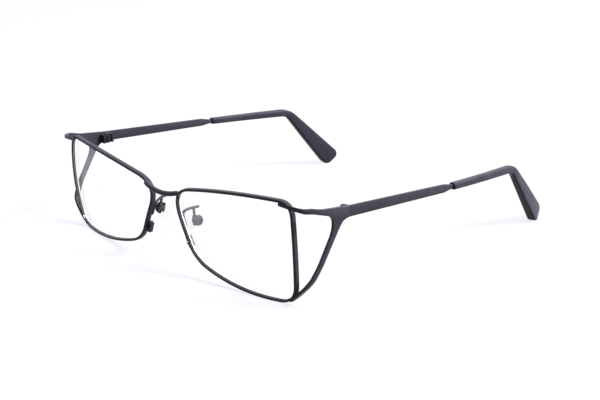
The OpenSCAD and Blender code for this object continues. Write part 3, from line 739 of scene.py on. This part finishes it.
def tipWidth(p):
    return (tip["mouthHeight"] + (tip["bendHeight"] - tip["mouthHeight"]) * flatShare(p)
            + (tip["paddleWidth"] - tip["bendHeight"]) * dropShare(p) ** tip["growth"])


# The paddle grows thicker on the side of the head, and its outside turns up
def tipRing(p, d, width, thickness, corner=tip["corner"]):
    ring = []
    inner = tip["thickening"] * dropShare(p) * thickness / tip["thickness"]
    twist = math.radians(tip["flatTwist"] * flatShare(p) + tip["dropTwist"] * dropShare(p))
    r = min(thickness, width) * corner
    upwards = Vector((-d.y, d.x))
    for j in range(tip["sides"]):
        a = math.tau * (j + 0.5) / tip["sides"]
        u, v = math.cos(a), math.sin(a)
        side = math.copysign(thickness / 2 - r, u) + r * u - (inner if u < 0 else 0)
        rise = math.copysign(width / 2 - r, v) + r * v
        q = p + upwards * (rise * math.cos(twist) + side * math.sin(twist))
        side = side * math.cos(twist) - rise * math.sin(twist)
        q = Vector((min(q.x, tip["farthest"]), max(q.y, tip["lowest"])))
        ring.append(Vector((temple["sideX"] - hugAt(q.x) + side, q.x, q.y)))
    return ring


# The mouth: a hole for the temple's core, and a lip rounded inside and outside
def mouthRings(p, d):
    high, wide, corner = tip["recessHeight"], tip["recessWidth"], tip["recessCorner"]
    lip, edge = tip["lip"], tip["lipRound"]
    outer = (tipWidth(p), tip["thickness"])
    return [
        tipRing(p + d * tip["recess"], d, high, wide, corner),
        tipRing(p + d * lip, d, high, wide, corner),
        tipRing(p, d, high + lip, wide + lip, corner),
        tipRing(p, d, outer[0] - 2 * lip, outer[1] - 2 * lip),
        tipRing(p + d * edge, d, outer[0] - 2 * edge, outer[1] - 2 * edge),
    ]


# The rounded end grows thinner towards its edge
def endRings(p, d):
    rings = []
    for i in range(1, tip["endSteps"] + 1):
        share = i / tip["endSteps"]
        a = math.radians(tip["endTurn"] * share)
        rings.append(tipRing(p + d * paddleRadius * math.sin(a), d, tip["paddleWidth"] * math.cos(a),
                             tip["thickness"] * (1 - tip["endThinning"] * share ** 2)))
    return rings


def addTips():
    path = tipStations()
    last = len(path) - 1
    start = (path[1] - path[0]).normalized()
    end = (path[last] - path[last - 1]).normalized()
    rings = mouthRings(path[0], start)
    for i in range(last + 1):
        d = (path[min(i + 1, last)] - path[max(i - 1, 0)]).normalized()
        p = path[i] + (start * tip["lip"] if i == 0 else Vector((0, 0)))
        rings.append(tipRing(p, d, tipWidth(path[i]), tip["thickness"]))
    rings += endRings(path[last], end)
    data = meshData(meshFromRings(rings))
    addBothSides("TempleTip", data, tipPlastic, onTemples, "temple_tip", tip["crease"])


# Screws: one domed head with a slot and one shank, placed at points that say how each is turned and scaled
screw = {
    "slotWidth": 0.26, "slotDepth": 0.45, "slotReach": 3, "sides": 40, "crease": 30,
    # radius and height from the seat, as shares of the head's and the shank's own
    "head": [(0.5, 0.97), (0.8, 0.86), (0.95, 0.68), (1, 0.45), (1, 0.08), (0.93, 0)],
    "shank": [(0.9, 0), (1, -0.05), (1, -0.93), (0.8, -1)],
    # radius and height of each kind's head, radius and length of its shank
    "hinge": ((0.00125, 0.00065), (0.0006, 0.0035)),
    "pad": ((0.0009, 0.00045), (0.00045, 0.0027)),
    "lock": ((0.0006, 0.0006), (0.00042, 0.0044)),
    "lockSeat": (-0.000644, 0.00015, 0.0022),
}


def screwPart(name, profile):
    rings = [[Vector((*p, z)) for p in circle(screw["sides"], r)] for r, z in profile]
    return linked(name, meshData(meshFromRings(rings)))


def slottedHead():
    head = screwPart("headBlank", screw["head"])
    tool = bmesh.new()
    bmesh.ops.create_cube(tool, size=1)
    place = Matrix.Translation((0, 0, 1.5 - screw["slotDepth"]))  # its underside is the slot's floor
    size = Matrix.Diagonal((screw["slotReach"], screw["slotWidth"], 1, 1))
    cutter = linked("slotTool", meshData(tool, place @ size))
    slot = head.modifiers.new("slot", "BOOLEAN")
    slot.operation = "DIFFERENCE"
    slot.solver = "EXACT"
    slot.object = cutter
    data = evaluated(head)
    bpy.data.objects.remove(cutter)
    return linked("screwHead", data)


def screwTree():
    t = ShapeTree("screws", [("Head", "NodeSocketObject"), ("Shank", "NodeSocketObject"),
                             ("Material", "NodeSocketMaterial")])

    def perPoint(name):
        read = t.node("GeometryNodeInputNamedAttribute", data_type="FLOAT_VECTOR")
        read.inputs["Name"].default_value = name
        return read.outputs["Attribute"]

    joined = t.node("GeometryNodeJoinGeometry")
    turn = perPoint("turn")
    for label, size in (("Head", "headSize"), ("Shank", "shankSize")):
        master = t.node("GeometryNodeObjectInfo")
        t.link(t.given[label], master.inputs["Object"])
        placed = t.node("GeometryNodeInstanceOnPoints")
        t.link(t.given["Geometry"], placed.inputs["Points"])
        t.link(master.outputs["Geometry"], placed.inputs["Instance"])
        t.link(turn, placed.inputs["Rotation"])
        t.link(perPoint(size), placed.inputs["Scale"])
        t.link(placed.outputs["Instances"], joined.inputs["Geometry"])
    return t.finish(joined.outputs["Geometry"])


def screwPlaces():
    low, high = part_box("left_hinge_screw")
    headHeight = screw["hinge"][0][1]
    hinge = Matrix.Translation(((low.x + high.x) / 2, (low.y + high.y) / 2, high.z - headHeight))
    boxFront = -screw["pad"][1][1] / 2
    inPad = padPlace @ Matrix.Translation((0, boxFront, 0)) @ turned(90, "X")
    inLock = lockPlace @ Matrix.Translation(screw["lockSeat"]) @ turned(90, "Z")
    return [(hinge, *screw["hinge"]), (inPad, *screw["pad"]), (inLock, *screw["lock"])]


def addScrews():
    head, shank = slottedHead(), screwPart("screwShank", screw["shank"])
    points, turns, heads, shanks = [], [], [], []
    for place, headSize, shankSize in screwPlaces():
        for half in (upright, across):
            whole = half @ place
            if half is across:  # mirrored once more, so that a turn remains
                whole = whole @ across
            points.append(whole.translation)
            turns += whole.to_euler()
            heads += (headSize[0], headSize[0], headSize[1])
            shanks += (shankSize[0], shankSize[0], shankSize[1])
    data = bpy.data.meshes.new("screwPoints")
    data.from_pydata(points, [], [])
    for name, values in (("turn", turns), ("headSize", heads), ("shankSize", shanks)):
        data.attributes.new(name, "FLOAT_VECTOR", "POINT").data.foreach_set("vector", values)
    made = workedOut(linked("screwPoints", data), screwTree(), Head=head, Shank=shank, Material=screwSteel)
    for master in (head, shank):
        bpy.data.objects.remove(master)
    stoodFor = [side + "_" + kind + "_screw"
                for side in ("left", "right") for kind in ("hinge", "pad", "lock")]
    addPiece("screws", rebuilt(made), screwSteel, "front", stoodFor, screw["crease"])


addRims()
addLenses()
addBridge()
print("rims, lenses and bridge ready")
addPadArms()
addNosePads()
addTips()
addScrews()
print("pad arms, nose pads, tips and screws ready")
addSoftened("EndPiece", "end_piece", soft["metal"], blackLacquer, onFront)
addSoftened("Temple", "temple", soft["metal"], blackLacquer, onTemples)
addSoftened("FrontKnuckles", "front_knuckles", soft["hinge"], hingeLacquer, onFront)
addSoftened("TempleKnuckle", "temple_knuckle", soft["hinge"], hingeLacquer, onTemples)
addSoftened("LockUpperBlock", "lock_upper_block", soft["lock"], blackLacquer, onFront)
addSoftened("LockLowerBlock", "lock_lower_block", soft["lock"], blackLacquer, onFront)
addPadBoxes()
for side in ("left", "right"):
    nodes[side + "_pad_insert"].material_slots[0].material = padCore
print("end pieces, temples, hinges, locks and pad boxes ready")

# Stage: a pale floor, a white background and soft lamps
studio = {
    "floorSize": 6, "floorPlace": (0, 0.05, 0),
    "floorGlow": (0.81, 0.81, 0.89), "floorCatch": (0.14, 0.14, 0.117),
    "surround": 0.15, "aim": (0, 0.06, 0.02),
    # place, power and size of each lamp
    "lamps": {"topLamp": ((0.1, 0.2, 2.2), 33, 1.3), "sideLamp": ((1.1, 0.8, 1.3), 47, 0.6)},
}
# Camera: how it is turned, lifted and rolled, the point it looks at and how far off it is
view = {
    "turn": 47.498, "lift": 16.9, "roll": -0.286, "aim": (0, 0.05, 0.0204), "distance": 0.5499,
    "lens": 83.64, "sensor": 36, "shift": (0.0662, -0.0181), "nearest": 0.01,
}


# 1 for what the camera sees, straight, in a mirror or through glass, and 0 for other light
def seenRays(tree):
    rays = tree.node("ShaderNodeLightPath").outputs
    seen = rays["Is Camera Ray"]
    for kind in ("Is Glossy Ray", "Is Transmission Ray"):
        seen = tree.math("MAXIMUM", seen, rays[kind])
    return seen


def addFloor():
    mesh = bmesh.new()
    bmesh.ops.create_grid(mesh, x_segments=8, y_segments=8, size=studio["floorSize"] / 2)
    floor = linked("floor", meshData(mesh, Matrix.Translation(studio["floorPlace"])))
    p = Paint("paleFloor")
    glow = p.node("ShaderNodeEmission")
    glow.inputs["Color"].default_value = (*studio["floorGlow"], 1)
    p.link(seenRays(p), glow.inputs["Strength"])
    diffuse = p.node("ShaderNodeBsdfDiffuse")
    diffuse.inputs["Color"].default_value = (*studio["floorCatch"], 1)
    both = p.node("ShaderNodeAddShader")
    p.link(glow.outputs[0], both.inputs[0])
    p.link(diffuse.outputs[0], both.inputs[1])
    p.link(both.outputs[0], p.tree.nodes["Material Output"].inputs["Surface"])
    p.tree.nodes.remove(p.shader)
    floor.data.materials.append(p.material)


def addWorld():
    world = bpy.data.worlds.new("studio")
    world.use_nodes = True
    sky = NodeTree(world.node_tree)
    back = world.node_tree.nodes["Background"]
    back.inputs["Color"].default_value = (1, 1, 1, 1)
    level = sky.node("ShaderNodeMapRange")
    level.inputs["To Min"].default_value = studio["surround"]
    level.inputs["To Max"].default_value = 1
    sky.link(seenRays(sky), level.inputs["Value"])
    sky.link(level.outputs["Result"], back.inputs["Strength"])
    bpy.context.scene.world = world


def addLamp(name, place, power, size):
    lamp = bpy.data.lights.new(name, "AREA")
    lamp.shape = "DISK"
    lamp.size = size
    lamp.energy = power
    holder = linked(name, lamp)
    holder.location = place
    holder.rotation_euler = (Vector(studio["aim"]) - Vector(place)).to_track_quat("-Z", "Y").to_euler()


def addCamera():
    turn, lift, roll = (math.radians(view[name]) for name in ("turn", "lift", "roll"))
    back = Vector((math.sin(turn) * math.cos(lift), -math.cos(turn) * math.cos(lift), math.sin(lift)))
    right = Vector((math.cos(turn), math.sin(turn), 0))
    up = back.cross(right)
    axes = (right * math.cos(roll) + up * math.sin(roll),
            up * math.cos(roll) - right * math.sin(roll), back)
    lens = bpy.data.cameras.new("camera")
    lens.sensor_width = view["sensor"]
    lens.lens = view["lens"]
    lens.shift_x, lens.shift_y = view["shift"]
    lens.clip_start = view["nearest"]
    camera = linked("camera", lens)
    place = Matrix(axes).transposed().to_4x4()
    place.translation = Vector(view["aim"]) + view["distance"] * back
    camera.matrix_world = place
    bpy.context.scene.camera = camera


addFloor()
addWorld()
for name, (place, power, size) in studio["lamps"].items():
    addLamp(name, place, power, size)
addCamera()
bpy.context.scene.view_settings.view_transform = "Standard"
print("stage ready")
